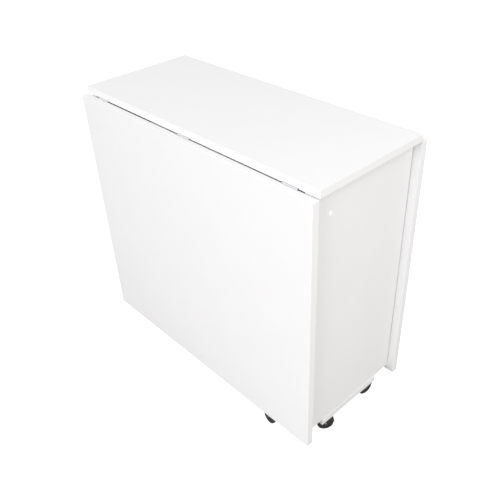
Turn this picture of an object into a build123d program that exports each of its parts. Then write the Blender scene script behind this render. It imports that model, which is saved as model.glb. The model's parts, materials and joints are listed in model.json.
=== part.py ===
"""A gateleg table on castors, folded, with both leaves hanging.

Millimetres, +Z up. The origin is on the floor under the middle of the table. X runs along the
hinge lines, and the front leaf hangs on the -Y side. Turned half a turn about Z the table looks
the same, so the gates and rails are made once in front and once more turned round.
"""

from build123d import *
import os
from math import cos, radians, sin

os.makedirs("parts", exist_ok=True)

# Table top, leaves and the seam between them
TOP_LENGTH = 800.0
TOP_DEPTH = 324.0
TABLE_HEIGHT = 760.0
LEAF_DROP = 690.0
BOARD = 18.0
EDGING = 1.0
EDGING_CORNER = 1.5
EDGING_ROUND = 0.6
ARRIS = 0.4
SEAM_GAP = 0.6
LEAF_HINGE_OFFSET = 1.0

# Frame under the top
CASTOR_HEIGHT = 50.0
END_PANEL_OUTER_X = 380.0
END_PANEL_HALF_DEPTH = 161.5
BASE_HALF_LENGTH = 382.0
BASE_HALF_DEPTH = 106.0
BAY_HALF_LENGTH = 132.0
PARTITION_HALF_DEPTH = 140.5
TIE_HALF_DEPTH = 105.0
TIE_BOTTOM_Z = 395.0
RAIL_Y = 107.0
RAIL_HEIGHT = 120.0
RAIL_SCREW_Z = 679.0

# Gates
THIN_BOARD = 16.0
GATE_HINGE_OFFSET = 3.0
GATE_FREE_END_X = 356.0
GATE_TOP_Z = 737.0
GATE_END_CLEARANCE = 0.5
PAD_LENGTH = 10.0
PAD_HEIGHT = 4.5

# Butt hinges and their screws
HINGE_LENGTH = 40.0
HINGE_PLATE_WIDTH = 25.0
HINGE_PLATE = 1.2
HINGE_NOTCH = 3.3
KNUCKLE_RADIUS = 2.6
KNUCKLE_RELIEF = 3.1
MIDDLE_KNUCKLE = 15.6
KNUCKLE_PLAY = 0.2
PIN_RADIUS = 1.2
PIN_CLEARANCE = 0.04
PIN_HEAD_RADIUS = 1.9
PIN_HEAD_HEIGHT = 0.8
LEAF_HINGE_X = (-325.0, 0.0, 325.0)
GATE_HINGE_Z = (140.0, 410.0, 670.0)
SCREW_OFFSET = 14.0
SCREW_SPREAD = 12.0
SCREW_RADIUS = 1.7
SCREW_HEAD_RADIUS = 2.85
SCREW_LENGTH = 13.0
SCREW_FIT = 0.02

# Panel screws, cover caps, cam fittings and bumpers
PANEL_SCREW_RADIUS = 3.2
PANEL_SCREW_LENGTH = 50.0
PANEL_HEAD_RADIUS = 4.8
PANEL_HEAD_HEIGHT = 3.5
CAP_RADIUS = 6.0
CAP_HEIGHT = 1.2
CAP_ROUND = 0.5
BASE_SCREW_Y = 60.0
CAM_RADIUS = 7.5
CAM_DEPTH = 12.0
CAM_DROP = 34.0
CAM_Y = 70.0
CAM_SLOT_WIDTH = 2.0
CAM_SLOT_DEPTH = 1.5
CAM_BOLT_RADIUS = 3.0
CAM_BOLT_DEPTH_IN_TOP = 12.0
CAM_BOLT_GAP = 0.5
BUMPER_RADIUS = 5.0
BUMPER_Z = 120.0
BUMPER_GAP = 0.3

# Castors
WHEEL_RADIUS = 22.0
WHEEL_WIDTH = 13.0
WHEEL_GAP = 4.5
TREAD_ROUND = 3.0
WHEEL_DISH_OUTER = 17.0
WHEEL_DISH_INNER = 6.0
WHEEL_DISH_DEPTH = 1.5
AXLE_RADIUS = 2.5
AXLE_PLAY = 0.06
TRAIL = 14.0
FENDER_INNER = 22.8
FENDER_OUTER = 24.4
FENDER_HALF_WIDTH = 18.5
FENDER_SKIRT = 2.0
WEB_WIDTH = 7.0
WEB_RADIUS = 16.0
BOSS_RADIUS = 9.0
BOSS_BOTTOM_Z = 34.0
PINTLE_RADIUS = 3.5
PINTLE_PLAY = 0.06
PINTLE_TOP_Z = 63.5
SOCKET_RADIUS = 5.0
SOCKET_FLANGE_RADIUS = 7.5
SOCKET_FLANGE = 1.5
SOCKET_TOP_Z = 65.5
SWIVEL_PLAY = 0.2
PINTLE_HEADROOM = 0.5
BASE_CASTOR_X = 348.0
BASE_CASTOR_Y = 80.0
GATE_CASTOR_X = 265.0

# Levels and planes worked out from the driving dimensions
TOP_UNDERSIDE = TABLE_HEIGHT - BOARD
LEAF_AXIS_Y = TOP_DEPTH / 2 + SEAM_GAP / 2
LEAF_AXIS_Z = TOP_UNDERSIDE - LEAF_HINGE_OFFSET
LEAF_INNER_Y = LEAF_AXIS_Y + LEAF_HINGE_OFFSET
LEAF_TOP_Z = LEAF_AXIS_Z - SEAM_GAP / 2
PANEL_BOTTOM = CASTOR_HEIGHT + BOARD
END_PANEL_INNER_X = END_PANEL_OUTER_X - BOARD
PARTITION_OUTER_X = BAY_HALF_LENGTH + BOARD
GATE_AXIS_X = BAY_HALF_LENGTH - GATE_HINGE_OFFSET
GATE_AXIS_Y = PARTITION_HALF_DEPTH
GATE_INNER_Y = GATE_AXIS_Y + GATE_HINGE_OFFSET
GATE_MIDDLE_Y = GATE_INNER_Y + THIN_BOARD / 2
GATE_HINGE_END_X = GATE_AXIS_X - GATE_END_CLEARANCE
CAM_Z = TOP_UNDERSIDE - CAM_DROP
END_PANEL_MIDDLE_X = END_PANEL_OUTER_X - BOARD / 2
PARTITION_MIDDLE_X = BAY_HALF_LENGTH + BOARD / 2

UP = Vector(0, 0, 1)
ALONG = Vector(1, 0, 0)
ACROSS = Vector(0, 1, 0)


def save(part, name):
    """Labels a finished piece and writes its STEP file."""
    part.part.label = name
    export_step(part.part, f"parts/{name}.step")


def drill(drillings):
    """Cuts every hole of a board: planes whose Z points out of the mouth, then the two radii."""
    for planes, radius, head_radius, head_depth, depth in drillings:
        with Locations(*planes):
            if head_radius > radius:
                CounterBoreHole(radius, head_radius, head_depth, depth)
            else:
                Hole(radius, depth)


def make_board(name, x_span, y_span, z_span, drillings=()):
    """A square-cut board with its arrises just taken off."""
    x_low, x_high = x_span
    y_low, y_high = y_span
    z_low, z_high = z_span
    with BuildPart() as board:
        with BuildSketch(Plane.XY.offset(z_low)):
            with Locations(((x_low + x_high) / 2, (y_low + y_high) / 2)):
                Rectangle(x_high - x_low, y_high - y_low)
        extrude(amount=z_high - z_low)
        chamfer(board.edges(), ARRIS)
        drill(drillings)
    save(board, name)


def make_veneered_panel(name, face, width, knuckle_axes, drillings):
    """A top or leaf panel: its core, and the plastic edging glued round it.

    The plane `face` lies on the panel's back face, with its X along the table and its Y across
    the panel. Round each hinge barrel the bottom arris is cut away to the relief radius.
    """
    with BuildPart() as core:
        with BuildSketch(face):
            Rectangle(TOP_LENGTH - 2 * EDGING, width - 2 * EDGING)
        extrude(amount=BOARD)
        with Locations(*knuckle_axes):
            Cylinder(KNUCKLE_RELIEF, HINGE_LENGTH + 4, mode=Mode.SUBTRACT)
        drill(drillings)
    save(core, name)

    with BuildPart() as band:
        with BuildSketch(face):
            RectangleRounded(TOP_LENGTH, width, EDGING_CORNER)
            Rectangle(TOP_LENGTH - 2 * EDGING, width - 2 * EDGING, mode=Mode.SUBTRACT)
        extrude(amount=BOARD)
        flat_faces = band.faces().filter_by(Axis(face.origin, face.z_dir))
        rims = [edge for flat in flat_faces for edge in flat.outer_wire().edges()]
        fillet(rims, EDGING_ROUND)
        with Locations(*knuckle_axes):
            Cylinder(KNUCKLE_RELIEF, HINGE_LENGTH + 4, mode=Mode.SUBTRACT)
    save(band, f"{name}_edging")


def half_turn(plane):
    """The same plane on the other side of the table, half a turn about Z away."""
    turned = [Vector(-v.X, -v.Y, v.Z) for v in (plane.origin, plane.x_dir, plane.z_dir)]
    return Plane(turned[0], x_dir=turned[1], z_dir=turned[2])


def hinge_screw_planes(hinge, offset):
    """Screw heads on a hinge plate: origin at the plate's bare face, Z pointing out of it."""
    return [
        Plane(
            origin=hinge.from_local_coords((SCREW_OFFSET, offset - HINGE_PLATE, along)),
            x_dir=hinge.z_dir,
            z_dir=-hinge.y_dir,
        )
        for along in (-SCREW_SPREAD, SCREW_SPREAD)
    ]


def make_hinge_plates(name, hinges, offset, knuckles):
    """One half of each butt hinge, as flat plates with rolled knuckles.

    A hinge plane has its origin in the barrel, Z along the pin, X along the plate and Y
    towards the board that the plate is screwed to, `offset` away.
    """
    plate_middle = (HINGE_NOTCH + HINGE_PLATE_WIDTH) / 2
    with BuildPart() as plates:
        for hinge in hinges:
            with BuildSketch(hinge.offset(-HINGE_LENGTH / 2)):
                with Locations((plate_middle, offset - HINGE_PLATE / 2)):
                    Rectangle(HINGE_PLATE_WIDTH - HINGE_NOTCH, HINGE_PLATE)
            extrude(amount=HINGE_LENGTH)
            for start, end in knuckles:
                with BuildSketch(hinge.offset(start)):
                    Circle(KNUCKLE_RADIUS)
                    with Locations((HINGE_NOTCH / 2, offset - HINGE_PLATE / 2)):
                        Rectangle(HINGE_NOTCH, HINGE_PLATE)
                    Circle(PIN_RADIUS + PIN_CLEARANCE, mode=Mode.SUBTRACT)
                extrude(amount=end - start)
            with Locations(*hinge_screw_planes(hinge, offset)):
                CounterSinkHole(SCREW_RADIUS + 0.1, SCREW_HEAD_RADIUS + 0.1, 3 * HINGE_PLATE, 90)
    save(plates, name)


def make_wood_screws(name, planes):
    """Countersunk screws, each head flush with the plate it holds."""
    cone_height = SCREW_HEAD_RADIUS - SCREW_RADIUS
    top_aligned = (Align.CENTER, Align.CENTER, Align.MAX)
    with BuildPart() as screws:
        with Locations(*planes):
            Cylinder(SCREW_RADIUS, SCREW_LENGTH, align=top_aligned)
            Cone(SCREW_RADIUS, SCREW_HEAD_RADIUS, cone_height, align=top_aligned)
    save(screws, name)


# Hinge planes. The front ones come first, and the back ones are the same half a turn round.
leaf_fixed_front = [
    Plane(origin=(x, -LEAF_AXIS_Y, LEAF_AXIS_Z), x_dir=ACROSS, z_dir=ALONG) for x in LEAF_HINGE_X
]
leaf_moving_front = [
    Plane(origin=(x, -LEAF_AXIS_Y, LEAF_AXIS_Z), x_dir=-UP, z_dir=-ALONG) for x in LEAF_HINGE_X
]
gate_fixed_front = [
    Plane(origin=(-GATE_AXIS_X, -GATE_AXIS_Y, z), x_dir=ACROSS, z_dir=UP) for z in GATE_HINGE_Z
]
gate_moving_front = [
    Plane(origin=(-GATE_AXIS_X, -GATE_AXIS_Y, z), x_dir=ALONG, z_dir=-UP) for z in GATE_HINGE_Z
]
leaf_fixed_back = [half_turn(hinge) for hinge in leaf_fixed_front]
leaf_moving_back = [half_turn(hinge) for hinge in leaf_moving_front]
gate_fixed_back = [half_turn(hinge) for hinge in gate_fixed_front]
gate_moving_back = [half_turn(hinge) for hinge in gate_moving_front]

leaf_fixed_hinges = leaf_fixed_front + leaf_fixed_back
gate_fixed_hinges = gate_fixed_front + gate_fixed_back


def screws_for(hinges, offset):
    """Every screw plane of a list of hinges."""
    return [plane for hinge in hinges for plane in hinge_screw_planes(hinge, offset)]


leaf_fixed_screws = screws_for(leaf_fixed_hinges, LEAF_HINGE_OFFSET)
leaf_front_screws = screws_for(leaf_moving_front, LEAF_HINGE_OFFSET)
leaf_back_screws = screws_for(leaf_moving_back, LEAF_HINGE_OFFSET)
gate_fixed_front_screws = screws_for(gate_fixed_front, GATE_HINGE_OFFSET)
gate_fixed_back_screws = screws_for(gate_fixed_back, GATE_HINGE_OFFSET)
gate_front_screws = screws_for(gate_moving_front, GATE_HINGE_OFFSET)
gate_back_screws = screws_for(gate_moving_back, GATE_HINGE_OFFSET)


def wood_screw_holes(planes):
    """Pilot holes for the hinge screws."""
    radius = SCREW_RADIUS + SCREW_FIT
    return (planes, radius, radius, 0, SCREW_LENGTH)


# Panel screws, each plane on the face that its head is sunk in
end_rail_front = Plane((END_PANEL_OUTER_X, -RAIL_Y, RAIL_SCREW_Z), x_dir=ACROSS, z_dir=ALONG)
bay_rail_front = Plane((BAY_HALF_LENGTH, -RAIL_Y, RAIL_SCREW_Z), x_dir=ACROSS, z_dir=-ALONG)
tie_screw_z = TIE_BOTTOM_Z + THIN_BOARD / 2
tie_right = [
    Plane((PARTITION_OUTER_X, y, tie_screw_z), x_dir=ACROSS, z_dir=ALONG)
    for y in (-BASE_SCREW_Y, BASE_SCREW_Y)
]
right_side_screws = [end_rail_front, bay_rail_front] + tie_right
left_side_screws = [half_turn(plane) for plane in right_side_screws]
base_screws = [
    Plane((x, y, CASTOR_HEIGHT), x_dir=ALONG, z_dir=-UP)
    for x in (-END_PANEL_MIDDLE_X, -PARTITION_MIDDLE_X, PARTITION_MIDDLE_X, END_PANEL_MIDDLE_X)
    for y in (-BASE_SCREW_Y, BASE_SCREW_Y)
]
capped_screws = right_side_screws + left_side_screws
all_panel_screws = capped_screws + base_screws

# Cam fittings that hold the top down on the four uprights
cam_planes = [
    Plane((side * x, y, CAM_Z), x_dir=ACROSS, z_dir=ALONG * (side * facing))
    for side in (-1, 1)
    for x, facing in ((END_PANEL_INNER_X, -1), (PARTITION_OUTER_X, 1))
    for y in (-CAM_Y, CAM_Y)
]
cam_bolt_bottom = CAM_Z + CAM_RADIUS + CAM_BOLT_GAP
cam_bolt_top = TOP_UNDERSIDE + CAM_BOLT_DEPTH_IN_TOP
cam_bolt_planes = [
    Plane((side * x, y, cam_bolt_bottom), x_dir=ALONG, z_dir=-UP)
    for side in (-1, 1)
    for x in (END_PANEL_MIDDLE_X, PARTITION_MIDDLE_X)
    for y in (-CAM_Y, CAM_Y)
]


def panel_screw_holes(planes):
    """Stepped holes for panel screws: the head's recess is cut only where the head sits."""
    radius = PANEL_SCREW_RADIUS + SCREW_FIT
    return (planes, radius, PANEL_HEAD_RADIUS + SCREW_FIT, PANEL_HEAD_HEIGHT, PANEL_SCREW_LENGTH)


def plain_holes(planes, radius, depth):
    """Straight holes with a hair of clearance."""
    return (planes, radius + SCREW_FIT, radius + SCREW_FIT, 0, depth)


cam_holes = plain_holes(cam_planes, CAM_RADIUS, CAM_DEPTH)
cam_bolt_holes = plain_holes(cam_bolt_planes, CAM_BOLT_RADIUS, cam_bolt_top - cam_bolt_bottom)
upright_holes = (cam_holes, cam_bolt_holes, panel_screw_holes(all_panel_screws))

# Castor positions: stem X, stem Y, and the way the wheels trail, in degrees from +X
CASTORS = {
    "castor_right_front": (BASE_CASTOR_X, -BASE_CASTOR_Y, 56.0),
    "castor_right_back": (BASE_CASTOR_X, BASE_CASTOR_Y, 81.0),
    "castor_left_front": (-BASE_CASTOR_X, -BASE_CASTOR_Y, 118.0),
    "castor_left_back": (-BASE_CASTOR_X, BASE_CASTOR_Y, 205.0),
    "castor_gate_front": (GATE_CASTOR_X, -GATE_MIDDLE_Y, 170.0),
    "castor_gate_back": (-GATE_CASTOR_X, GATE_MIDDLE_Y, -10.0),
}


def castor_mount(name):
    """The plane on a board's underside where a castor's socket goes in."""
    x, y, trail_angle = CASTORS[name]
    return Plane((x, y, CASTOR_HEIGHT), x_dir=ALONG, z_dir=-UP)


base_castors = [name for name in CASTORS if "gate" not in name]
base_mounts = [castor_mount(name) for name in base_castors]


def socket_holes(planes):
    """Blind holes that the castor sockets are pressed into."""
    return plain_holes(planes, SOCKET_RADIUS, SOCKET_TOP_Z - CASTOR_HEIGHT)


# ---- Top and leaves ----
top_face = Plane((0, 0, TOP_UNDERSIDE), x_dir=ALONG, z_dir=UP)
make_veneered_panel(
    "centre_top",
    top_face,
    TOP_DEPTH,
    leaf_fixed_hinges,
    [wood_screw_holes(leaf_fixed_screws), cam_bolt_holes],
)

leaf_middle_z = LEAF_TOP_Z - LEAF_DROP / 2
leaf_face_front = Plane((0, -LEAF_INNER_Y, leaf_middle_z), x_dir=ALONG, z_dir=-ACROSS)
make_veneered_panel(
    "leaf_front",
    leaf_face_front,
    LEAF_DROP,
    leaf_moving_front,
    [wood_screw_holes(leaf_front_screws)],
)
make_veneered_panel(
    "leaf_back",
    half_turn(leaf_face_front),
    LEAF_DROP,
    leaf_moving_back,
    [wood_screw_holes(leaf_back_screws)],
)

# ---- Uprights, base, tie board and rails ----
depth_of_end = (-END_PANEL_HALF_DEPTH, END_PANEL_HALF_DEPTH)
depth_of_partition = (-PARTITION_HALF_DEPTH, PARTITION_HALF_DEPTH)
upright_heights = (PANEL_BOTTOM, TOP_UNDERSIDE)
for side_name, side in (("left", -1), ("right", 1)):
    end_span = sorted((side * END_PANEL_INNER_X, side * END_PANEL_OUTER_X))
    make_board(f"end_panel_{side_name}", end_span, depth_of_end, upright_heights, upright_holes)

    partition_span = sorted((side * BAY_HALF_LENGTH, side * PARTITION_OUTER_X))
    hinge_screws = gate_fixed_front_screws if side < 0 else gate_fixed_back_screws
    partition_holes = upright_holes + (wood_screw_holes(hinge_screws),)
    make_board(
        f"partition_{side_name}",
        partition_span,
        depth_of_partition,
        upright_heights,
        partition_holes,
    )

    rail_span = sorted((side * PARTITION_OUTER_X, side * END_PANEL_INNER_X))
    rail_middle = -side * RAIL_Y
    make_board(
        f"top_rail_{side_name}",
        rail_span,
        (rail_middle - THIN_BOARD / 2, rail_middle + THIN_BOARD / 2),
        (TOP_UNDERSIDE - RAIL_HEIGHT, TOP_UNDERSIDE),
        (panel_screw_holes(capped_screws),),
    )

make_board(
    "base_board",
    (-BASE_HALF_LENGTH, BASE_HALF_LENGTH),
    (-BASE_HALF_DEPTH, BASE_HALF_DEPTH),
    (CASTOR_HEIGHT, PANEL_BOTTOM),
    (panel_screw_holes(base_screws), socket_holes(base_mounts)),
)
make_board(
    "tie_board",
    (-BAY_HALF_LENGTH, BAY_HALF_LENGTH),
    (-TIE_HALF_DEPTH, TIE_HALF_DEPTH),
    (TIE_BOTTOM_Z, TIE_BOTTOM_Z + THIN_BOARD),
    (panel_screw_holes(capped_screws),),
)

# ---- Hinges ----
outer_knuckle = MIDDLE_KNUCKLE / 2 + KNUCKLE_PLAY
FIXED_KNUCKLES = ((-HINGE_LENGTH / 2, -outer_knuckle), (outer_knuckle, HINGE_LENGTH / 2))
MOVING_KNUCKLES = ((-MIDDLE_KNUCKLE / 2, MIDDLE_KNUCKLE / 2),)

make_hinge_plates("leaf_hinge_fixed", leaf_fixed_hinges, LEAF_HINGE_OFFSET, FIXED_KNUCKLES)
make_hinge_plates("leaf_front_hinge", leaf_moving_front, LEAF_HINGE_OFFSET, MOVING_KNUCKLES)
make_hinge_plates("leaf_back_hinge", leaf_moving_back, LEAF_HINGE_OFFSET, MOVING_KNUCKLES)
make_hinge_plates("gate_hinge_fixed", gate_fixed_hinges, GATE_HINGE_OFFSET, FIXED_KNUCKLES)
make_hinge_plates("gate_front_hinge", gate_moving_front, GATE_HINGE_OFFSET, MOVING_KNUCKLES)
make_hinge_plates("gate_back_hinge", gate_moving_back, GATE_HINGE_OFFSET, MOVING_KNUCKLES)

with BuildPart() as hinge_pins:
    for hinge in leaf_fixed_hinges + gate_fixed_hinges:
        with Locations(hinge):
            Cylinder(PIN_RADIUS, HINGE_LENGTH)
        for end in (-1, 1):
            head_middle = end * (HINGE_LENGTH + PIN_HEAD_HEIGHT) / 2
            with Locations(hinge.offset(head_middle)):
                Cylinder(PIN_HEAD_RADIUS, PIN_HEAD_HEIGHT)
save(hinge_pins, "hinge_pins")

fixed_screws = leaf_fixed_screws + gate_fixed_front_screws + gate_fixed_back_screws
make_wood_screws("hinge_screws_fixed", fixed_screws)
make_wood_screws("leaf_front_screws", leaf_front_screws)
make_wood_screws("leaf_back_screws", leaf_back_screws)
make_wood_screws("gate_front_screws", gate_front_screws)
make_wood_screws("gate_back_screws", gate_back_screws)

# ---- Panel screws, caps, cams and bumpers ----
TOP_ALIGNED = (Align.CENTER, Align.CENTER, Align.MAX)
BOTTOM_ALIGNED = (Align.CENTER, Align.CENTER, Align.MIN)

with BuildPart() as panel_screws:
    with Locations(*all_panel_screws):
        Cylinder(PANEL_SCREW_RADIUS, PANEL_SCREW_LENGTH, align=TOP_ALIGNED)
        Cylinder(PANEL_HEAD_RADIUS, PANEL_HEAD_HEIGHT, align=TOP_ALIGNED)
save(panel_screws, "panel_screws")

with BuildPart() as cover_caps:
    with Locations(*capped_screws):
        Cylinder(CAP_RADIUS, CAP_HEIGHT, align=BOTTOM_ALIGNED)
    for plane in capped_screws:
        crown = cover_caps.edges().sort_by(
            lambda edge: (edge.center() - plane.from_local_coords((0, 0, CAP_HEIGHT))).length
        )[0]
        fillet(crown, CAP_ROUND)
save(cover_caps, "cover_caps")

with BuildPart() as cam_locks:
    with Locations(*cam_planes):
        Cylinder(CAM_RADIUS, CAM_DEPTH, align=TOP_ALIGNED)
    with Locations(*cam_planes):
        for turn in (0, 90):
            Box(
                CAM_RADIUS,
                CAM_SLOT_WIDTH,
                2 * CAM_SLOT_DEPTH,
                rotation=(0, 0, turn),
                mode=Mode.SUBTRACT,
            )
save(cam_locks, "cam_locks")

with BuildPart() as cam_bolts:
    with Locations(*cam_bolt_planes):
        Cylinder(CAM_BOLT_RADIUS, cam_bolt_top - cam_bolt_bottom, align=TOP_ALIGNED)
save(cam_bolts, "cam_bolts")

bumper_length = LEAF_INNER_Y - BUMPER_GAP - END_PANEL_HALF_DEPTH
bumper_planes = [
    Plane((x, side * END_PANEL_HALF_DEPTH, BUMPER_Z), x_dir=ALONG, z_dir=ACROSS * side)
    for side in (-1, 1)
    for x in (-END_PANEL_MIDDLE_X, END_PANEL_MIDDLE_X)
]
with BuildPart() as leaf_bumpers:
    with Locations(*bumper_planes):
        Cone(BUMPER_RADIUS, BUMPER_RADIUS - 1, bumper_length, align=BOTTOM_ALIGNED)
save(leaf_bumpers, "leaf_bumpers")


# ---- Gates ----
def make_gate(side_name, x_span, y_span, screws, castor_name):
    """A gate panel, and the slip pad on top of its free end."""
    make_board(
        f"gate_{side_name}",
        x_span,
        y_span,
        (CASTOR_HEIGHT, GATE_TOP_Z),
        (wood_screw_holes(screws), socket_holes([castor_mount(castor_name)])),
    )
    free_end = max(x_span, key=abs)
    pad_middle_x = free_end - PAD_LENGTH / 2 if free_end > 0 else free_end + PAD_LENGTH / 2
    with BuildPart() as pad:
        with BuildSketch(Plane.XY.offset(GATE_TOP_Z)):
            with Locations((pad_middle_x, sum(y_span) / 2)):
                RectangleRounded(PAD_LENGTH, THIN_BOARD - 2, 2)
        extrude(amount=PAD_HEIGHT)
        fillet(pad.faces().sort_by(Axis.Z)[-1].edges(), 1)
    save(pad, f"gate_{side_name}_pad")


gate_outer_y = GATE_INNER_Y + THIN_BOARD
gate_x_front = (-GATE_HINGE_END_X, GATE_FREE_END_X)
gate_x_back = (-GATE_FREE_END_X, GATE_HINGE_END_X)
gate_y_front = (-gate_outer_y, -GATE_INNER_Y)
gate_y_back = (GATE_INNER_Y, gate_outer_y)
make_gate("front", gate_x_front, gate_y_front, gate_front_screws, "castor_gate_front")
make_gate("back", gate_x_back, gate_y_back, gate_back_screws, "castor_gate_back")


# ---- Castors ----
def make_sockets(name, mounts):
    """Flanged sleeves pressed into the board, each with a blind bore for a castor's pintle."""
    sleeve = SOCKET_TOP_Z - CASTOR_HEIGHT
    bore_depth = PINTLE_TOP_Z + PINTLE_HEADROOM - CASTOR_HEIGHT + SOCKET_FLANGE
    with BuildPart() as sockets:
        with Locations(*mounts):
            Cylinder(SOCKET_RADIUS, sleeve, align=TOP_ALIGNED)
            Cylinder(SOCKET_FLANGE_RADIUS, SOCKET_FLANGE, align=BOTTOM_ALIGNED)
        with Locations(*[mount.offset(SOCKET_FLANGE) for mount in mounts]):
            Hole(PINTLE_RADIUS + PINTLE_PLAY, bore_depth)
    save(sockets, name)


def make_castor(name):
    """A hooded twin-wheel castor: swivelling body, axle, and two wheels pressed on the axle."""
    stem_x, stem_y, trail_angle = CASTORS[name]
    heading = Vector(cos(radians(trail_angle)), sin(radians(trail_angle)), 0)
    sideways = Vector(heading.Y, -heading.X, 0)
    hub = Vector(stem_x, stem_y, WHEEL_RADIUS) + heading * TRAIL
    side_plane = Plane(hub, x_dir=heading, z_dir=sideways)
    stem_plane = Plane((stem_x, stem_y, 0), x_dir=heading, z_dir=UP)
    boss_top = CASTOR_HEIGHT - SOCKET_FLANGE - SWIVEL_PLAY

    with BuildPart() as body:
        with BuildSketch(stem_plane.offset(BOSS_BOTTOM_Z)):
            Circle(BOSS_RADIUS)
        extrude(amount=boss_top - BOSS_BOTTOM_Z)
        with BuildSketch(side_plane.offset(-FENDER_HALF_WIDTH)):
            Circle(FENDER_OUTER)
            with Locations((0, FENDER_SKIRT - FENDER_OUTER)):
                Rectangle(3 * FENDER_OUTER, 2 * FENDER_OUTER, mode=Mode.SUBTRACT)
        extrude(amount=2 * FENDER_HALF_WIDTH)
        with Locations(side_plane):
            Cylinder(FENDER_INNER, 3 * FENDER_HALF_WIDTH, mode=Mode.SUBTRACT)
        with BuildSketch(side_plane.offset(-WEB_WIDTH / 2)):
            Circle(WEB_RADIUS)
            with Locations((-TRAIL / 2, WEB_RADIUS / 2 + 1)):
                Rectangle(TRAIL + BOSS_RADIUS, WEB_RADIUS + 6)
        extrude(amount=WEB_WIDTH)
        with BuildSketch(stem_plane.offset(boss_top)):
            Circle(PINTLE_RADIUS)
        extrude(amount=PINTLE_TOP_Z - boss_top)
        with Locations(side_plane):
            Cylinder(AXLE_RADIUS + AXLE_PLAY, 3 * WEB_WIDTH, mode=Mode.SUBTRACT)
    save(body, f"{name}_body")

    with BuildPart() as wheels:
        for start in (WHEEL_GAP, -WHEEL_GAP - WHEEL_WIDTH):
            with BuildSketch(side_plane.offset(start)):
                Circle(WHEEL_RADIUS)
                Circle(AXLE_RADIUS, mode=Mode.SUBTRACT)
            extrude(amount=WHEEL_WIDTH)
        treads = wheels.edges().filter_by(GeomType.CIRCLE).group_by(SortBy.RADIUS)[-1]
        fillet(treads, TREAD_ROUND)
        for outer_face in (WHEEL_GAP + WHEEL_WIDTH, -WHEEL_GAP - WHEEL_WIDTH):
            dish_start = outer_face - WHEEL_DISH_DEPTH
            with BuildSketch(side_plane.offset(dish_start)):
                Circle(WHEEL_DISH_OUTER)
                Circle(WHEEL_DISH_INNER, mode=Mode.SUBTRACT)
            extrude(amount=2 * WHEEL_DISH_DEPTH, mode=Mode.SUBTRACT)
    save(wheels, f"{name}_wheels")

    with BuildPart() as axle:
        with Locations(side_plane):
            Cylinder(AXLE_RADIUS - SCREW_FIT, 2 * (WHEEL_GAP + WHEEL_WIDTH) + 1)
    save(axle, f"{name}_axle")


make_sockets("castor_sockets_base", base_mounts)
make_sockets("gate_front_castor_socket", [castor_mount("castor_gate_front")])
make_sockets("gate_back_castor_socket", [castor_mount("castor_gate_back")])
for castor_name in CASTORS:
    make_castor(castor_name)
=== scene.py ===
# %% [markdown]
# A gateleg table on castors, folded, with both leaves hanging. The frame, the boards, the hinges
# and the castors arrive as finished CAD pieces. This lesson gives them their camera, their light
# and their surfaces, and puts finer pieces in the place of the plainest ones.

import json
import math

import bpy
import numpy as np
from mathutils import Matrix, Vector

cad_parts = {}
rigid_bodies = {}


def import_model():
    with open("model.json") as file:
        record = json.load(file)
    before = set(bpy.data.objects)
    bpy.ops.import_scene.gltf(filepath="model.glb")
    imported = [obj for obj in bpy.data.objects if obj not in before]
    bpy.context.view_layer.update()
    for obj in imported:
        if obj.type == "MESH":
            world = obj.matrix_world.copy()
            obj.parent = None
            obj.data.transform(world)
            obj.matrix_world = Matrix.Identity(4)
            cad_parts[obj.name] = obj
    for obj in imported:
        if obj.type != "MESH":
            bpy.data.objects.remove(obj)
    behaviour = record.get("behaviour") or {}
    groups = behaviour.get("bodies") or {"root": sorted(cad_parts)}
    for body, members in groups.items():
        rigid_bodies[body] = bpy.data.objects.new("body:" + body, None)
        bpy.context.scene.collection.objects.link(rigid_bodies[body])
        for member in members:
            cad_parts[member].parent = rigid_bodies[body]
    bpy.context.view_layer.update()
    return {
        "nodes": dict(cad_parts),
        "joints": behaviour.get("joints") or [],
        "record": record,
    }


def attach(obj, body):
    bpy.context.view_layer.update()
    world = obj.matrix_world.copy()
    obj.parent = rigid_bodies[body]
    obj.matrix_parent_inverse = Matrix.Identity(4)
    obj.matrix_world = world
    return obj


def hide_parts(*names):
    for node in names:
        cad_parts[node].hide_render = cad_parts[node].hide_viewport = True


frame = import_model()
nodes = frame["nodes"]

# %% [markdown]
# The camera stands to the right of the front leaf and looks down on the table. It is placed by
# the direction it looks in, said in the plainest way: so many degrees round from the front,
# so many degrees down, and a slight lean of the horizon. A rotation matrix made of the camera's
# own right, up and backward directions says the same thing without any angles to mix up.

# %% Camera
CAMERA_PLACE = Vector((1.0399, -0.9104, 1.3248))
CAMERA_ROUND = math.radians(48.22)
CAMERA_DOWN = math.radians(35.18)
CAMERA_LEAN = math.radians(-2.71)
CAMERA_LENS = 44.86
SENSOR_WIDTH = 36.0


def camera_matrix(place, turned_round, tipped_down, lean):
    """A camera's matrix: forward from the two angles, then right and up turned by the lean."""
    forward = Vector((
        -math.sin(turned_round) * math.cos(tipped_down),
        math.cos(turned_round) * math.cos(tipped_down),
        -math.sin(tipped_down),
    ))
    level_right = forward.cross(Vector((0, 0, 1))).normalized()
    level_up = level_right.cross(forward)
    right = math.cos(lean) * level_right + math.sin(lean) * level_up
    up = math.cos(lean) * level_up - math.sin(lean) * level_right
    turn = Matrix((right, up, -forward)).transposed().to_4x4()
    return Matrix.Translation(place) @ turn


camera_data = bpy.data.cameras.new("camera")
camera_data.lens = CAMERA_LENS
camera_data.sensor_width = SENSOR_WIDTH
camera_data.clip_end = 100.0
camera = bpy.data.objects.new("camera", camera_data)
camera.matrix_world = camera_matrix(CAMERA_PLACE, CAMERA_ROUND, CAMERA_DOWN, CAMERA_LEAN)
bpy.context.scene.collection.objects.link(camera)
bpy.context.scene.camera = camera
print("Camera at", tuple(round(v, 3) for v in camera.location))

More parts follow.
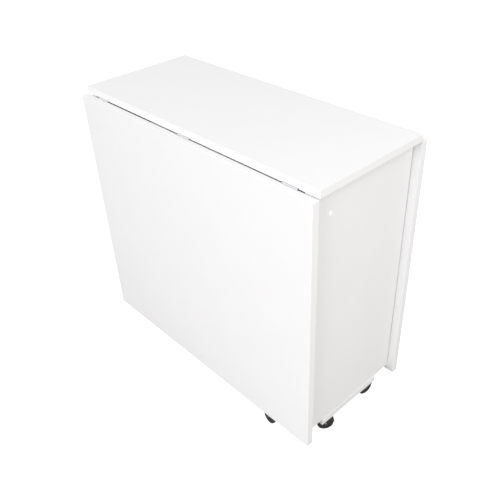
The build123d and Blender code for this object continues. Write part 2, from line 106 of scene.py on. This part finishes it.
# %% [markdown]
# A white table on a white sweep is lit almost from everywhere, or it turns grey. The world gives
# the even part. One broad lamp lifts the front leaf. Two small ones close to the right end make it
# fade towards the floor: the high one also draws the shadow under the overhang of the top.
# The backdrop is plain white to the camera but lights the table less than it shows. Light Path
# tells the two apart: it knows whether a ray came straight from the camera.

# %% Lamps
bpy.context.scene.view_settings.view_transform = "Standard"


def soft_lamp(name, place, aim, size, power, colour=(1.0, 1.0, 1.0)):
    """A square area lamp that faces the point it is aimed at, and isn't seen itself."""
    data = bpy.data.lights.new(name, "AREA")
    data.shape = "SQUARE"
    data.size = size
    data.energy = power
    data.color = colour
    lamp = bpy.data.objects.new(name, data)
    direction = Vector(aim) - Vector(place)
    lamp.rotation_euler = direction.to_track_quat("-Z", "Y").to_euler()
    lamp.location = place
    lamp.visible_camera = False
    bpy.context.scene.collection.objects.link(lamp)
    return lamp


soft_lamp("front", (0.9, -3.1, 1.8), (0.05, 0.0, 0.5), 1.6, 57.0, (0.98, 0.965, 1.0))
soft_lamp("right_high", (1.15, 0.0, 1.55), (0.38, 0.0, 0.8), 0.35, 1.7, (1.0, 0.99, 0.98))
soft_lamp("right_low", (1.8, -0.1, 1.0), (0.38, 0.0, 0.6), 0.6, 4.1, (1.0, 0.995, 0.985))

# %% Backdrop
WORLD_LIGHT = 0.95
BACKDROP_SEEN = 1.0
FLOOR_HALF = 15.0
FLOOR_COLOUR = (0.50, 0.49, 0.465, 1.0)


def seen_and_given(tree, seen, given):
    """A strength that is one value for rays from the camera and another for all the rest."""
    is_camera = tree.nodes.new("ShaderNodeLightPath").outputs["Is Camera Ray"]
    strength = tree.nodes.new("ShaderNodeMapRange")
    strength.inputs["To Min"].default_value = given
    strength.inputs["To Max"].default_value = seen
    tree.links.new(is_camera, strength.inputs["Value"])
    return strength.outputs["Result"]


world = bpy.data.worlds.new("studio")
bpy.context.scene.world = world
world.use_nodes = True
sky = world.node_tree.nodes["Background"]
sky.inputs["Color"].default_value = (1.0, 1.0, 1.0, 1.0)
sky_strength = seen_and_given(world.node_tree, BACKDROP_SEEN, WORLD_LIGHT)
world.node_tree.links.new(sky_strength, sky.inputs["Strength"])

floor_mesh = bpy.data.meshes.new("floor")
floor_mesh.from_pydata(
    [(-FLOOR_HALF, -FLOOR_HALF, 0), (FLOOR_HALF, -FLOOR_HALF, 0),
     (FLOOR_HALF, FLOOR_HALF, 0), (-FLOOR_HALF, FLOOR_HALF, 0)],
    [],
    [(0, 1, 2, 3)],
)
floor = bpy.data.objects.new("floor", floor_mesh)
bpy.context.scene.collection.objects.link(floor)

floor_material = bpy.data.materials.new("white_sweep")
floor_material.use_nodes = True
floor_tree = floor_material.node_tree
floor_shader = floor_tree.nodes["Principled BSDF"]
floor_shader.inputs["Base Color"].default_value = FLOOR_COLOUR
floor_shader.inputs["Roughness"].default_value = 0.9
floor_shader.inputs["Emission Color"].default_value = (1.0, 1.0, 1.0, 1.0)
floor_glow = seen_and_given(floor_tree, BACKDROP_SEEN, 0.0)
floor_tree.links.new(floor_glow, floor_shader.inputs["Emission Strength"])
floor_mesh.materials.append(floor_material)
print("Floor", 2 * FLOOR_HALF, "m wide")

# %% [markdown]
# Every surface here is made of the same few effects at different sizes: a mottle that changes
# the colour by a percent or two, a relief that breaks up the reflections, and wiped or handled
# patches that are a little duller. Each is a node group with its own inputs, built once.

# %% Helpers for node trees
def new_group(name, inputs, outputs):
    """A shader node group with named float or vector sockets, and its two end nodes."""
    group = bpy.data.node_groups.new(name, "ShaderNodeTree")
    kinds = {"float": "NodeSocketFloat", "vector": "NodeSocketVector"}
    for socket_name, kind, value in inputs:
        socket = group.interface.new_socket(socket_name, in_out="INPUT", socket_type=kinds[kind])
        if value is not None:
            socket.default_value = value
    for socket_name, kind in outputs:
        group.interface.new_socket(socket_name, in_out="OUTPUT", socket_type=kinds[kind])
    start = group.nodes.new("NodeGroupInput")
    end = group.nodes.new("NodeGroupOutput")
    return group, start, end


def math_node(tree, operation, first, second):
    """A Math node; each operand is a number or an output socket."""
    node = tree.nodes.new("ShaderNodeMath")
    node.operation = operation
    for socket, value in zip(node.inputs, (first, second)):
        if isinstance(value, (int, float)):
            socket.default_value = value
        else:
            tree.links.new(value, socket)
    return node.outputs[0]


def ramp_between(tree, value, low, high, from_value=0.0, to_value=1.0):
    """A Map Range node: low..high becomes from_value..to_value, clamped."""
    node = tree.nodes.new("ShaderNodeMapRange")
    tree.links.new(value, node.inputs["Value"])
    node.inputs["From Min"].default_value = low
    node.inputs["From Max"].default_value = high
    node.inputs["To Min"].default_value = from_value
    node.inputs["To Max"].default_value = to_value
    return node.outputs["Result"]


def noise_node(tree, vector, scale, detail=3.0, roughness=0.5):
    """A Noise texture on the given coordinates; scale may be a number or a socket."""
    node = tree.nodes.new("ShaderNodeTexNoise")
    tree.links.new(vector, node.inputs["Vector"])
    if isinstance(scale, (int, float)):
        node.inputs["Scale"].default_value = scale
    else:
        tree.links.new(scale, node.inputs["Scale"])
    node.inputs["Detail"].default_value = detail
    node.inputs["Roughness"].default_value = roughness
    return node.outputs["Fac"]


# %% The mottle group
mottle_group, mottle_in, mottle_out = new_group(
    "mottle",
    [("Vector", "vector", None), ("Scale", "float", 60.0), ("Amount", "float", 0.02)],
    [("Factor", "float")],
)
coarse = noise_node(mottle_group, mottle_in.outputs["Vector"], mottle_in.outputs["Scale"], 4.0, 0.6)
swing = math_node(mottle_group, "SUBTRACT", coarse, 0.5)
scaled_swing = math_node(mottle_group, "MULTIPLY", swing, mottle_in.outputs["Amount"])
mottle_group.links.new(math_node(mottle_group, "ADD", scaled_swing, 1.0), mottle_out.inputs[0])
print("Group", mottle_group.name)

# %% [markdown]
# Wiped patches: where cloths and hands have been, a satin face is duller in wide soft streaks.
# Two noises of very different size, multiplied, look less regular than one.

# %% The handling group
handling_group, handling_in, handling_out = new_group(
    "handling",
    [("Vector", "vector", None), ("Scale", "float", 5.0)],
    [("Mask", "float")],
)
broad = noise_node(handling_group, handling_in.outputs["Vector"], handling_in.outputs["Scale"], 3.0)
fine_scale = math_node(handling_group, "MULTIPLY", handling_in.outputs["Scale"], 9.0)
streaks = noise_node(handling_group, handling_in.outputs["Vector"], fine_scale, 5.0, 0.65)
broad_mask = ramp_between(handling_group, broad, 0.42, 0.66)
streak_mask = ramp_between(handling_group, streaks, 0.35, 0.7)
both = math_node(handling_group, "MULTIPLY", broad_mask, streak_mask)
handling_group.links.new(both, handling_out.inputs[0])
print("Group", handling_group.name)

# %% [markdown]
# The relief of a melamine face is a press-plate texture: low rounded pebbles about a millimetre
# across with a finer grit on them. Moulded plastic has the same look at a quarter of the size,
# so both take this group and give it their own scale.

# %% The pebble group
pebble_group, pebble_in, pebble_out = new_group(
    "pebble",
    [("Vector", "vector", None), ("Scale", "float", 900.0), ("Grit", "float", 0.4)],
    [("Height", "float")],
)
pebbles = pebble_group.nodes.new("ShaderNodeTexVoronoi")
pebbles.feature = "SMOOTH_F1"
pebbles.inputs["Smoothness"].default_value = 0.8
pebble_group.links.new(pebble_in.outputs["Vector"], pebbles.inputs["Vector"])
pebble_group.links.new(pebble_in.outputs["Scale"], pebbles.inputs["Scale"])
grit_scale = math_node(pebble_group, "MULTIPLY", pebble_in.outputs["Scale"], 2.7)
grit = noise_node(pebble_group, pebble_in.outputs["Vector"], grit_scale, 3.0, 0.6)
grit_height = math_node(pebble_group, "MULTIPLY", grit, pebble_in.outputs["Grit"])
summed = math_node(pebble_group, "ADD", pebbles.outputs["Distance"], grit_height)
pebble_group.links.new(summed, pebble_out.inputs[0])
print("Group", pebble_group.name)

# %% [markdown]
# Brushed or turned metal is scratched along one direction. Stretching the coordinates before the
# noise does that: a scratch is a noise that changes fast across and slowly along.

# %% The brushed group
brushed_group, brushed_in, brushed_out = new_group(
    "brushed",
    [("Vector", "vector", None), ("Along", "vector", (40.0, 2500.0, 2500.0))],
    [("Height", "float")],
)
stretch = brushed_group.nodes.new("ShaderNodeVectorMath")
stretch.operation = "MULTIPLY"
brushed_group.links.new(brushed_in.outputs["Vector"], stretch.inputs[0])
brushed_group.links.new(brushed_in.outputs["Along"], stretch.inputs[1])
scratches = noise_node(brushed_group, stretch.outputs[0], 1.0, 4.0, 0.7)
brushed_group.links.new(scratches, brushed_out.inputs[0])
print("Group", brushed_group.name)


# %% Starting a material
def start_material(name, metallic=0.0, **constants):
    """A material with its Principled shader, and the Object coordinates that patterns read."""
    material = bpy.data.materials.new(name)
    material.use_nodes = True
    tree = material.node_tree
    shader = tree.nodes["Principled BSDF"]
    shader.inputs["Metallic"].default_value = metallic
    for socket_name, value in constants.items():
        shader.inputs[socket_name.replace("_", " ")].default_value = value
    coordinates = tree.nodes.new("ShaderNodeTexCoord").outputs["Object"]
    return material, tree, shader, coordinates


def use_group(tree, group, coordinates, **values):
    """Places a node group in a material and sets its inputs; returns its first output."""
    node = tree.nodes.new("ShaderNodeGroup")
    node.node_tree = group
    tree.links.new(coordinates, node.inputs["Vector"])
    for socket_name, value in values.items():
        node.inputs[socket_name].default_value = value
    return node.outputs[0]


def tinted(tree, shader, colour, factor):
    """Base Color is the colour times a factor that changes over the surface."""
    mix = tree.nodes.new("ShaderNodeVectorMath")
    mix.operation = "SCALE"
    mix.inputs[0].default_value = colour
    tree.links.new(factor, mix.inputs["Scale"])
    tree.links.new(mix.outputs[0], shader.inputs["Base Color"])


def relief(tree, shader, height, strength, distance):
    """A Bump node between a height and the shader's normal."""
    bump = tree.nodes.new("ShaderNodeBump")
    bump.inputs["Strength"].default_value = strength
    bump.inputs["Distance"].default_value = distance
    tree.links.new(height, bump.inputs["Height"])
    tree.links.new(bump.outputs["Normal"], shader.inputs["Normal"])


# %% [markdown]
# The boards are chipboard faced with white melamine: satin, a little cool, and quite even. The
# colour moves by one percent in soft patches, the roughness by more, and the pebbled press-plate
# relief is only a few hundredths of a millimetre deep.

# %% Melamine
MELAMINE = (0.780, 0.780, 0.782)


def melamine_material(name, colour):
    """Melamine face: mottled colour, handled roughness and pebbled relief."""
    material, tree, shader, place = start_material(name, IOR=1.5)
    tinted(tree, shader, colour, use_group(tree, mottle_group, place, Scale=14.0, Amount=0.03))
    handled = use_group(tree, handling_group, place, Scale=3.2)
    roughness = ramp_between(tree, handled, 0.0, 1.0, 0.36, 0.52)
    tree.links.new(roughness, shader.inputs["Roughness"])
    height = use_group(tree, pebble_group, place, Scale=850.0, Grit=0.35)
    relief(tree, shader, height, 0.35, 0.00006)
    return material


melamine = melamine_material("white_melamine", MELAMINE)

# %% [markdown]
# The edging is a strip of solid plastic, glued on and trimmed with a cutter. It is a touch
# brighter and glossier than the face, and the trimming leaves faint ripples along it.

# %% Edging
EDGING_WHITE = (0.79, 0.79, 0.79)
edging, tree, shader, place = start_material("white_edging", IOR=1.46)
tinted(tree, shader, EDGING_WHITE, use_group(tree, mottle_group, place, Scale=40.0, Amount=0.02))
chatter = tree.nodes.new("ShaderNodeTexWave")
chatter.inputs["Scale"].default_value = 120.0
chatter.inputs["Distortion"].default_value = 2.5
chatter.inputs["Detail"].default_value = 2.0
tree.links.new(place, chatter.inputs["Vector"])
gloss = use_group(tree, handling_group, place, Scale=8.0)
tree.links.new(ramp_between(tree, gloss, 0.0, 1.0, 0.3, 0.44), shader.inputs["Roughness"])
relief(tree, shader, chatter.outputs["Fac"], 0.12, 0.00008)


# %% [markdown]
# Metal parts: pale plated hinge plates brushed along their length, zinc-plated screws, axles and
# sockets, and dull die-cast cams. One function makes them all; only the colour, the roughness
# and the direction of the scratches differ.

# %% Metals
def metal_material(name, colour, rough_low, rough_high, scratch_scale):
    """Plated steel: fine scratches in one direction, and patches that have dulled."""
    material, tree, shader, place = start_material(name, metallic=1.0)
    tinted(tree, shader, colour, use_group(tree, mottle_group, place, Scale=220.0, Amount=0.12))
    dulled = use_group(tree, handling_group, place, Scale=60.0)
    roughness = ramp_between(tree, dulled, 0.0, 1.0, rough_low, rough_high)
    tree.links.new(roughness, shader.inputs["Roughness"])
    relief(tree, shader, use_group(tree, brushed_group, place, Along=scratch_scale), 0.25, 0.00003)
    return material


nickel = metal_material("brushed_nickel", (0.84, 0.845, 0.86), 0.38, 0.55, (60.0, 3000.0, 3000.0))
zinc = metal_material("bright_zinc", (0.62, 0.63, 0.66), 0.28, 0.45, (900.0, 900.0, 900.0))
die_cast = metal_material("die_cast_zinc", (0.48, 0.49, 0.50), 0.42, 0.6, (500.0, 500.0, 500.0))


# %% [markdown]
# Plastics and rubber. Caps are white and smooth. The castors are black nylon: grey where the
# mould texture catches light, scuffed and dusty on the tread. Rubber is the dullest.

# %% Plastics
def plastic_material(name, colour, rough_low, rough_high, pebble_scale, depth, mottle=0.1):
    """Moulded plastic: a fine pebbled skin, with handled patches in its roughness."""
    material, tree, shader, place = start_material(name, IOR=1.48)
    tinted(tree, shader, colour, use_group(tree, mottle_group, place, Scale=160.0, Amount=mottle))
    handled = use_group(tree, handling_group, place, Scale=30.0)
    roughness = ramp_between(tree, handled, 0.0, 1.0, rough_low, rough_high)
    tree.links.new(roughness, shader.inputs["Roughness"])
    height = use_group(tree, pebble_group, place, Scale=pebble_scale, Grit=0.5)
    relief(tree, shader, height, 0.4, depth)
    return material


cap_plastic = plastic_material("white_cap_plastic", (0.93, 0.93, 0.93), 0.25, 0.4, 2500.0, 0.00002, 0.02)
black_nylon = plastic_material("black_nylon", (0.018, 0.018, 0.019), 0.34, 0.5, 2200.0, 0.00003)
wheel_nylon = plastic_material("wheel_nylon", (0.03, 0.03, 0.032), 0.4, 0.62, 1800.0, 0.00004, 0.5)
rubber = plastic_material("black_rubber", (0.02, 0.02, 0.02), 0.6, 0.8, 1500.0, 0.00005)

# %% Dress the CAD pieces
FINISHES = {
    "board_white": melamine,
    "edging_white": edging,
    "hinge_nickel": nickel,
    "screw_zinc": zinc,
    "cap_white": cap_plastic,
    "cam_zinc": die_cast,
    "axle_steel": zinc,
    "bumper_rubber": rubber,
    "pad_black": black_nylon,
    "socket_steel": zinc,
    "castor_hood": black_nylon,
    "castor_wheel": wheel_nylon,
}
slot_of_node = {s["node"]: s["material_slot"] for s in frame["record"]["subparts"]}
for node_name, node_object in nodes.items():
    finish = FINISHES[slot_of_node[node_name]]
    for slot in node_object.material_slots:
        slot.material = finish
print("Dressed", len(nodes), "CAD pieces")

# %% [markdown]
# Many of the finer pieces are grids of points: one direction runs along an outline, the other
# carries the outline round or along something. These helpers join such a grid into four-sided
# faces, turn a shell right side out, and put the finished arrays into a mesh in one go.

# %% Helpers for worked-out surfaces
MM = 0.001
SHARP_FROM = math.radians(35)


def grid_faces(rows, columns, rows_close=True):
    """Quads between neighbouring points of a grid whose columns close on themselves.

    Point (i, j) has the number i * columns + j. When rows_close, the last row joins the first.
    """
    i, j = np.meshgrid(np.arange(rows if rows_close else rows - 1), np.arange(columns), indexing="ij")
    next_i = (i + 1) % rows
    next_j = (j + 1) % columns
    corners = (i * columns + j, i * columns + next_j, next_i * columns + next_j, next_i * columns + j)
    return np.stack(corners, axis=-1).reshape(-1, 4).tolist()


def end_caps(rows, columns):
    """Two flat many-sided faces that close the first and the last row of an open grid."""
    first = list(range(columns))
    last = list(range((rows - 1) * columns, rows * columns))
    return [first[::-1], last]


def signed_volume(points, faces):
    """Volume from the origin: the sum over faces of a corner dotted with the face's area vector."""
    total = 0.0
    for count in {len(face) for face in faces}:
        index = np.array([face for face in faces if len(face) == count])
        for k in range(1, count - 1):
            a, b, c = points[index[:, 0]], points[index[:, k]], points[index[:, k + 1]]
            total += float(np.einsum("ij,ij->i", a, np.cross(b, c)).sum()) / 6.0
    return total


def shell(points, faces):
    """A closed shell with its faces outward: if its volume is negative, every face is reversed."""
    points = np.asarray(points, float).reshape(-1, 3)
    if signed_volume(points - points.mean(axis=0), faces) < 0:
        faces = [face[::-1] for face in faces]
    return points, faces


def piece_from_shells(name, shells, material, body):
    """One mesh object from several closed shells, riding on a body, with the given name and finish."""
    every_point, every_face, start = [], [], 0
    for points, faces in shells:
        every_point.append(points)
        every_face += [[start + n for n in face] for face in faces]
        start += len(points)
    mesh = bpy.data.meshes.new(name)
    mesh.from_pydata(np.concatenate(every_point).tolist(), [], every_face)
    mesh.polygons.foreach_set("use_smooth", np.ones(len(every_face), dtype=bool))
    mesh.set_sharp_from_angle(angle=SHARP_FROM)
    mesh.update()
    mesh.materials.append(material)
    piece = bpy.data.objects.new(name, mesh)
    bpy.context.scene.collection.objects.link(piece)
    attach(piece, body)
    return piece


def arc(centre, radius, start_degrees, end_degrees, steps):
    """Points on a circle arc: centre plus radius times (cosine, sine) of evenly spaced angles."""
    angle = np.radians(np.linspace(start_degrees, end_degrees, steps))
    return np.stack((centre[0] + radius * np.cos(angle), centre[1] + radius * np.sin(angle)), axis=1)


# %% [markdown]
# A castor's wheels are moulded, and turned in shape: one closed outline carried round the axle.
# The tread is slightly crowned, the shoulders are round, and the outer face is a dish with a hub
# in its middle. Eight ribs cross the dish. They need no outline of their own: where a rib passes,
# the floor of the dish is simply higher.

# %% Wheel outline
WHEEL_RADIUS = 22.0
WHEEL_INNER = 4.5
WHEEL_OUTER = 17.5
WHEEL_BORE = 2.5
CROWN = 0.25
SHOULDER = 3.0
RIB_COUNT = 8
RIB_HEIGHT = 1.7
RIB_STARTS = 0.84
RIB_SLOPE = 0.1
WHEEL_STEPS = 192


def wheel_outline():
    """The outline as (distance along the axle, radius) in mm, and how much a rib lifts each point."""
    shoulder_height = WHEEL_RADIUS - CROWN - SHOULDER
    tread = np.linspace(WHEEL_INNER + SHOULDER, WHEEL_OUTER - SHOULDER, 9)
    middle = (WHEEL_INNER + WHEEL_OUTER) / 2
    half_tread = tread[-1] - middle
    crowned = WHEEL_RADIUS - CROWN * ((tread - middle) / half_tread) ** 2
    inner_face = [(WHEEL_INNER, WHEEL_BORE), (WHEEL_INNER, 7.0), (WHEEL_INNER, 12.0)]
    rim_and_wall = [(WHEEL_OUTER, 17.7), (17.35, 17.35), (17.0, 17.2), (15.6, 16.9), (15.3, 16.6)]
    dish_floor = [(15.2, r) for r in (16.0, 14.4, 12.4, 10.2, 8.4)]
    hub = [
        (15.3, 7.5), (15.6, 7.2), (17.1, 6.8), (17.4, 6.6),
        (WHEEL_OUTER, 6.2), (WHEEL_OUTER, 3.2), (17.2, WHEEL_BORE),
    ]
    parts = [
        inner_face,
        arc((WHEEL_INNER + SHOULDER, shoulder_height), SHOULDER, 180, 90, 8)[:-1],
        np.stack((tread, crowned), axis=1),
        arc((WHEEL_OUTER - SHOULDER, shoulder_height), SHOULDER, 90, 0, 8)[1:],
        rim_and_wall,
        dish_floor,
        hub,
    ]
    lifted = [np.full(len(part), float(part is dish_floor)) for part in parts]
    return np.concatenate(parts), np.concatenate(lifted)


outline, rib_share = wheel_outline()
print("Wheel outline has", len(outline), "points")


# %% Wheels in place of the plain ones
def wheel_shell(hub, axle, heading, side):
    """Each outline point carried round the axle: hub + along * axle + radius * (cos, sin)."""
    angle = np.linspace(0, 2 * math.pi, WHEEL_STEPS, endpoint=False)
    rib = np.clip((np.cos(RIB_COUNT * angle) - RIB_STARTS) / RIB_SLOPE, 0, 1)
    along = outline[None, :, 0] + RIB_HEIGHT * rib[:, None] * rib_share[None, :]
    round_part = np.cos(angle)[:, None] * heading + np.sin(angle)[:, None] * np.array((0.0, 0.0, 1.0))
    points = (
        hub
        + MM * side * along[:, :, None] * axle
        + MM * outline[None, :, 1, None] * round_part[:, None, :]
    )
    return shell(points, grid_faces(WHEEL_STEPS, len(outline)))


castor_frames = {}
for joint in frame["joints"]:
    if joint["name"].endswith("_roll"):
        axle = np.array(joint["axis"], float)
        heading = np.array((-axle[1], axle[0], 0.0))
        castor_frames[joint["parent"]] = (np.array(joint["pos_m"], float), axle, heading)

for castor, (hub, axle, heading) in castor_frames.items():
    pair = [wheel_shell(hub, axle, heading, side) for side in (-1.0, 1.0)]
    wheels_body = castor.replace("castor_", "wheels_")
    wheels = piece_from_shells(f"{castor}_ribbed_wheels", pair, wheel_nylon, wheels_body)
    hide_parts(f"{castor}_wheels")
print("Made", 2 * len(castor_frames), "wheels")

# %% [markdown]
# The castor's body is one moulding. A hood curves over both wheels, a flat web runs down between
# them to carry the axle, and a round boss behind the axle holds the stem. The hood is a thin
# cross-section, rounded at its rims, swept through an arc. The web's edge is, in each direction
# from the axle, the farther of a disc and an arm. The boss is a turned shape whose underside
# follows the hood it grows out of.

# %% Hood
HOOD_OUTER = 24.4
HOOD_THICKNESS = 1.6
HOOD_HALF_WIDTH = 18.5
HOOD_CROWN = 1.1
HOOD_SKIRT = 2.0
HOOD_STEPS = 72


def hood_section():
    """A closed strip in (along the axle, radius): a crowned top, an inner face, and round rims."""
    rim = HOOD_THICKNESS / 2
    across = np.linspace(-1.0, 1.0, 25)
    along = across * (HOOD_HALF_WIDTH - rim)
    top = HOOD_OUTER - HOOD_CROWN * across**4
    middle_at_rim = HOOD_OUTER - HOOD_CROWN - rim
    right_rim = arc((HOOD_HALF_WIDTH - rim, middle_at_rim), rim, 90, -90, 9)[1:-1]
    left_rim = arc((rim - HOOD_HALF_WIDTH, middle_at_rim), rim, 270, 90, 9)[1:-1]
    upper = np.stack((along, top), axis=1)
    lower = np.stack((along, top - HOOD_THICKNESS), axis=1)[::-1]
    return np.concatenate((upper, right_rim, lower, left_rim))


def hood_shell(hub, axle, heading):
    """The strip swept over the wheels, from skirt to skirt, each point along * axle + radius * direction."""
    section = hood_section()
    lowest = math.asin(HOOD_SKIRT / HOOD_OUTER)
    angle = np.linspace(lowest, math.pi - lowest, HOOD_STEPS)
    direction = np.cos(angle)[:, None] * heading + np.sin(angle)[:, None] * np.array((0.0, 0.0, 1.0))
    points = (
        hub
        + MM * section[None, :, 0, None] * axle
        + MM * section[None, :, 1, None] * direction[:, None, :]
    )
    faces = grid_faces(HOOD_STEPS, len(section), rows_close=False)
    return shell(points, faces + end_caps(HOOD_STEPS, len(section)))


# %% Web
WEB_HALF_WIDTH = 3.5
WEB_RADIUS = 16.0
WEB_EDGE = 0.5
ARM_BACK, ARM_FRONT = -18.5, 4.5
ARM_BOTTOM, ARM_TOP = -2.0, 20.0
WEB_STEPS = 240
OFF_AXIS = 0.001


def web_shell(hub, axle, heading):
    """From the axle outward, the edge is the farther of a disc and an arm; its rims are chamfered.

    OFF_AXIS turns every direction a little, so that none has a sine or cosine of exactly zero.
    """
    angle = np.linspace(0, 2 * math.pi, WEB_STEPS, endpoint=False) + OFF_AXIS
    forward, upward = np.cos(angle), np.sin(angle)
    to_side = np.where(forward > 0, ARM_FRONT, ARM_BACK) / forward
    to_level = np.where(upward > 0, ARM_TOP, ARM_BOTTOM) / upward
    edge = np.maximum(WEB_RADIUS, np.minimum(to_side, to_level))
    along = np.array((-WEB_HALF_WIDTH, WEB_EDGE - WEB_HALF_WIDTH, WEB_HALF_WIDTH - WEB_EDGE, WEB_HALF_WIDTH))
    inset = np.array((WEB_EDGE, 0.0, 0.0, WEB_EDGE))
    direction = forward[:, None] * heading + upward[:, None] * np.array((0.0, 0.0, 1.0))
    points = (
        hub
        + MM * along[:, None, None] * axle
        + MM * (edge[None, :] - inset[:, None])[:, :, None] * direction[None, :, :]
    )
    faces = grid_faces(len(along), WEB_STEPS, rows_close=False)
    return shell(points, faces + end_caps(len(along), WEB_STEPS))


# %% Boss and stem
TRAIL = 14.0
BOSS_TOP = 48.3
BOSS_BOTTOM = 34.0
STEM_TOP = 63.5
BOSS_OUTLINE = np.array([
    (1.0, BOSS_BOTTOM), (4.5, BOSS_BOTTOM), (7.0, BOSS_BOTTOM), (8.4, BOSS_BOTTOM), (9.0, BOSS_BOTTOM + 0.6),
    (9.0, 44.0), (9.0, 47.5), (8.8, 48.1), (8.2, BOSS_TOP), (3.5, BOSS_TOP), (3.5, STEM_TOP - 0.6),
    (2.9, STEM_TOP), (1.0, STEM_TOP),
])
BOSS_STEPS = 96


def boss_shell(hub, axle, heading):
    """A turned outline whose lower points are raised to stay within the thickness of the hood."""
    angle = np.linspace(0, 2 * math.pi, BOSS_STEPS, endpoint=False)
    stem = np.array((hub[0], hub[1], 0.0)) - MM * TRAIL * heading
    radius, height = BOSS_OUTLINE[:, 0, None], BOSS_OUTLINE[:, 1, None]
    forward = radius * np.cos(angle)
    sideways = radius * np.sin(angle)
    hood_middle = HOOD_OUTER - HOOD_THICKNESS / 2
    from_axle = forward - TRAIL
    hood_height = WHEEL_RADIUS + np.sqrt(np.maximum(hood_middle**2 - from_axle**2, 0.0))
    height = np.maximum(height, hood_height)
    points = stem + MM * (
        forward[:, :, None] * heading
        + sideways[:, :, None] * axle
        + height[:, :, None] * np.array((0.0, 0.0, 1.0))
    )
    rows = len(BOSS_OUTLINE)
    return shell(points, grid_faces(rows, BOSS_STEPS, rows_close=False) + end_caps(rows, BOSS_STEPS))


# %% Castor bodies in place of the plain ones
for castor, (hub, axle, heading) in castor_frames.items():
    shells = [make(hub, axle, heading) for make in (hood_shell, web_shell, boss_shell)]
    moulding = piece_from_shells(f"{castor}_moulding", shells, black_nylon, castor)
    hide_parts(f"{castor}_body")
print("Made", len(castor_frames), "castor bodies")
